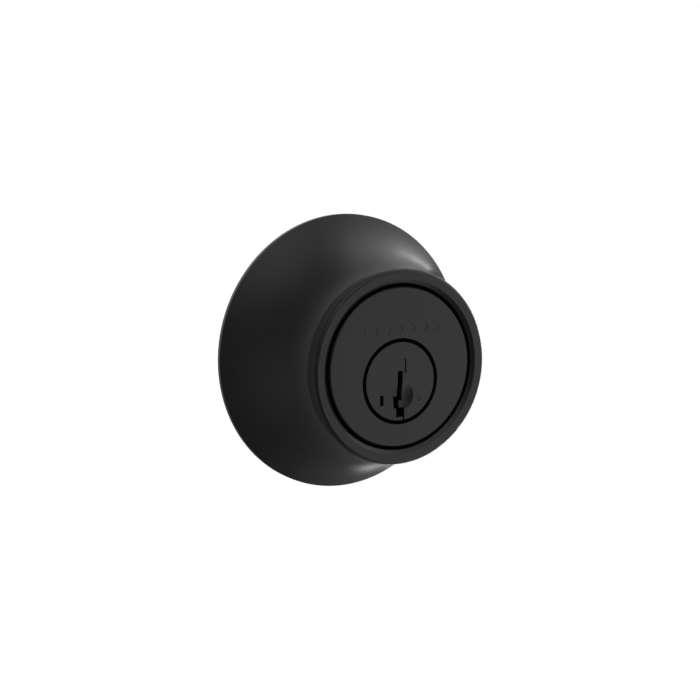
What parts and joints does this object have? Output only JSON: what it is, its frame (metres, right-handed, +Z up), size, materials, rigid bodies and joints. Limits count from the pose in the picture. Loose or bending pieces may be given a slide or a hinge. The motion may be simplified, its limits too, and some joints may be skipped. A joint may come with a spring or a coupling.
{
  "type": "deadbolt door lock",
  "caption": "Single-cylinder deadbolt: flared black keyed outside unit with a sidebar cylinder, tubular throw bolt, hub and crank, and an inside thumb-turn.",
  "frame": {"origin": "drive axis (plug, blade, hub and thumb-turn) at the door's outer face", "axes": "-Y outside, +Y inside, +Z up, bolt throws towards +X"},
  "size_m": [0.0936, 0.1009, 0.0673],
  "materials": {
    "satin_black": "satin black coating",
    "zinc_plated_steel": "zinc plated",
    "brass": "machined",
    "satin_nickel": "brushed satin",
    "spring_steel": "drawn wire",
    "hardened_steel": "ground, blackened"
  },
  "bodies": {
    "lock_case": {"exterior_housing": "satin_black", "cylinder_body": "satin_black", "anchor_plate": "zinc_plated_steel", "guard_collar": "hardened_steel", "bolt_case": "zinc_plated_steel", "case_cheek": "zinc_plated_steel", "case_rivets": "zinc_plated_steel", "detent_leaf": "spring_steel", "faceplate": "satin_nickel", "backing_plate": "zinc_plated_steel", "mounting_plate": "zinc_plated_steel", "mounting_screws": "zinc_plated_steel", "interior_rose": "satin_black", "friction_washer": "spring_steel"},
    "plug": {"plug": "satin_black", "spring_cap": "brass", "drill_pin": "hardened_steel", "plug_clip": "spring_steel", "pin_spring_1": "spring_steel", "pin_spring_2": "spring_steel", "pin_spring_3": "spring_steel", "pin_spring_4": "spring_steel", "pin_spring_5": "spring_steel", "carriage_spring": "spring_steel"},
    "carriage": {"wafer_carriage": "brass", "sidebar_springs": "spring_steel"},
    "sidebar": {"sidebar": "brass"},
    "pin_1": {"pin_1": "brass"},
    "wafer_1": {"wafer_1": "brass"},
    "pin_2": {"pin_2": "brass"},
    "wafer_2": {"wafer_2": "brass"},
    "pin_3": {"pin_3": "brass"},
    "wafer_3": {"wafer_3": "brass"},
    "pin_4": {"pin_4": "brass"},
    "wafer_4": {"wafer_4": "brass"},
    "pin_5": {"pin_5": "brass"},
    "wafer_5": {"wafer_5": "brass"},
    "tailpiece": {"tailpiece": "zinc_plated_steel"},
    "hub": {"hub": "zinc_plated_steel"},
    "bolt": {"bolt_head": "satin_nickel", "bolt_insert": "hardened_steel", "link_rivet": "zinc_plated_steel", "bolt_link": "zinc_plated_steel"},
    "thumbturn": {"thumbturn": "satin_black", "thumbturn_clip": "spring_steel"}
  },
  "joints": [
    {"name": "thumbturn_turn", "type": "hinge", "parent": "lock_case", "child": "thumbturn", "pos_m": [0, 0.0575, 0], "axis": [0, -1, 0], "range_deg": [0, 90]},
    {"name": "tailpiece_turn", "type": "hinge", "parent": "lock_case", "child": "tailpiece", "pos_m": [0, 0, 0], "axis": [0, -1, 0], "range_deg": [0, 90]},
    {"name": "hub_turn", "type": "hinge", "parent": "lock_case", "child": "hub", "pos_m": [0, 0.02223, 0], "axis": [0, -1, 0], "range_deg": [0, 90]},
    {"name": "plug_turn", "type": "hinge", "parent": "lock_case", "child": "plug", "pos_m": [0, -0.015, 0], "axis": [0, -1, 0], "range_deg": [0, 90]},
    {"name": "bolt_slide", "type": "slide", "parent": "lock_case", "child": "bolt", "axis": [1, 0, 0], "range_m": [0, 0.0254]},
    {"name": "carriage_slide", "type": "slide", "parent": "plug", "child": "carriage", "axis": [0, 1, 0], "range_m": [0, 0.0015], "stiffness_N_per_m": 300, "springref_m": -0.001, "deforming": ["carriage_spring"]},
    {"name": "sidebar_slide", "type": "slide", "parent": "carriage", "child": "sidebar", "axis": [1, 0, 0], "range_m": [0, 0.001], "deforming": ["sidebar_springs"]},
    {"name": "pin_1_lift", "type": "slide", "parent": "plug", "child": "pin_1", "axis": [0, 0, 1], "range_m": [0, 0.0015], "stiffness_N_per_m": 100, "springref_m": -0.002, "deforming": ["pin_spring_1"]},
    {"name": "wafer_1_lift", "type": "slide", "parent": "carriage", "child": "wafer_1", "axis": [0, 0, 1], "range_m": [0, 0.0015]},
    {"name": "pin_2_lift", "type": "slide", "parent": "plug", "child": "pin_2", "axis": [0, 0, 1], "range_m": [0, 0.0015], "stiffness_N_per_m": 100, "springref_m": -0.002, "deforming": ["pin_spring_2"]},
    {"name": "wafer_2_lift", "type": "slide", "parent": "carriage", "child": "wafer_2", "axis": [0, 0, 1], "range_m": [0, 0.0015]},
    {"name": "pin_3_lift", "type": "slide", "parent": "plug", "child": "pin_3", "axis": [0, 0, 1], "range_m": [0, 0.0015], "stiffness_N_per_m": 100, "springref_m": -0.002, "deforming": ["pin_spring_3"]},
    {"name": "wafer_3_lift", "type": "slide", "parent": "carriage", "child": "wafer_3", "axis": [0, 0, 1], "range_m": [0, 0.0015]},
    {"name": "pin_4_lift", "type": "slide", "parent": "plug", "child": "pin_4", "axis": [0, 0, 1], "range_m": [0, 0.0015], "stiffness_N_per_m": 100, "springref_m": -0.002, "deforming": ["pin_spring_4"]},
    {"name": "wafer_4_lift", "type": "slide", "parent": "carriage", "child": "wafer_4", "axis": [0, 0, 1], "range_m": [0, 0.0015]},
    {"name": "pin_5_lift", "type": "slide", "parent": "plug", "child": "pin_5", "axis": [0, 0, 1], "range_m": [0, 0.0015], "stiffness_N_per_m": 100, "springref_m": -0.002, "deforming": ["pin_spring_5"]},
    {"name": "wafer_5_lift", "type": "slide", "parent": "carriage", "child": "wafer_5", "axis": [0, 0, 1], "range_m": [0, 0.0015]}
  ],
  "couplings": [
    {"joint": "tailpiece_turn", "follows": "thumbturn_turn", "ratio": 1},
    {"joint": "hub_turn", "follows": "thumbturn_turn", "ratio": 1},
    {"joint": "plug_turn", "follows": "thumbturn_turn", "ratio": 1},
    {"joint": "bolt_slide", "follows": "thumbturn_turn", "m_per_rad": 0.01617},
    {"joint": "sidebar_slide", "follows": "thumbturn_turn", "m_per_rad": 0.00063662},
    {"joint": "wafer_1_lift", "follows": "pin_1_lift", "ratio": 1},
    {"joint": "wafer_2_lift", "follows": "pin_2_lift", "ratio": 1},
    {"joint": "wafer_3_lift", "follows": "pin_3_lift", "ratio": 1},
    {"joint": "wafer_4_lift", "follows": "pin_4_lift", "ratio": 1},
    {"joint": "wafer_5_lift", "follows": "pin_5_lift", "ratio": 1}
  ]
}
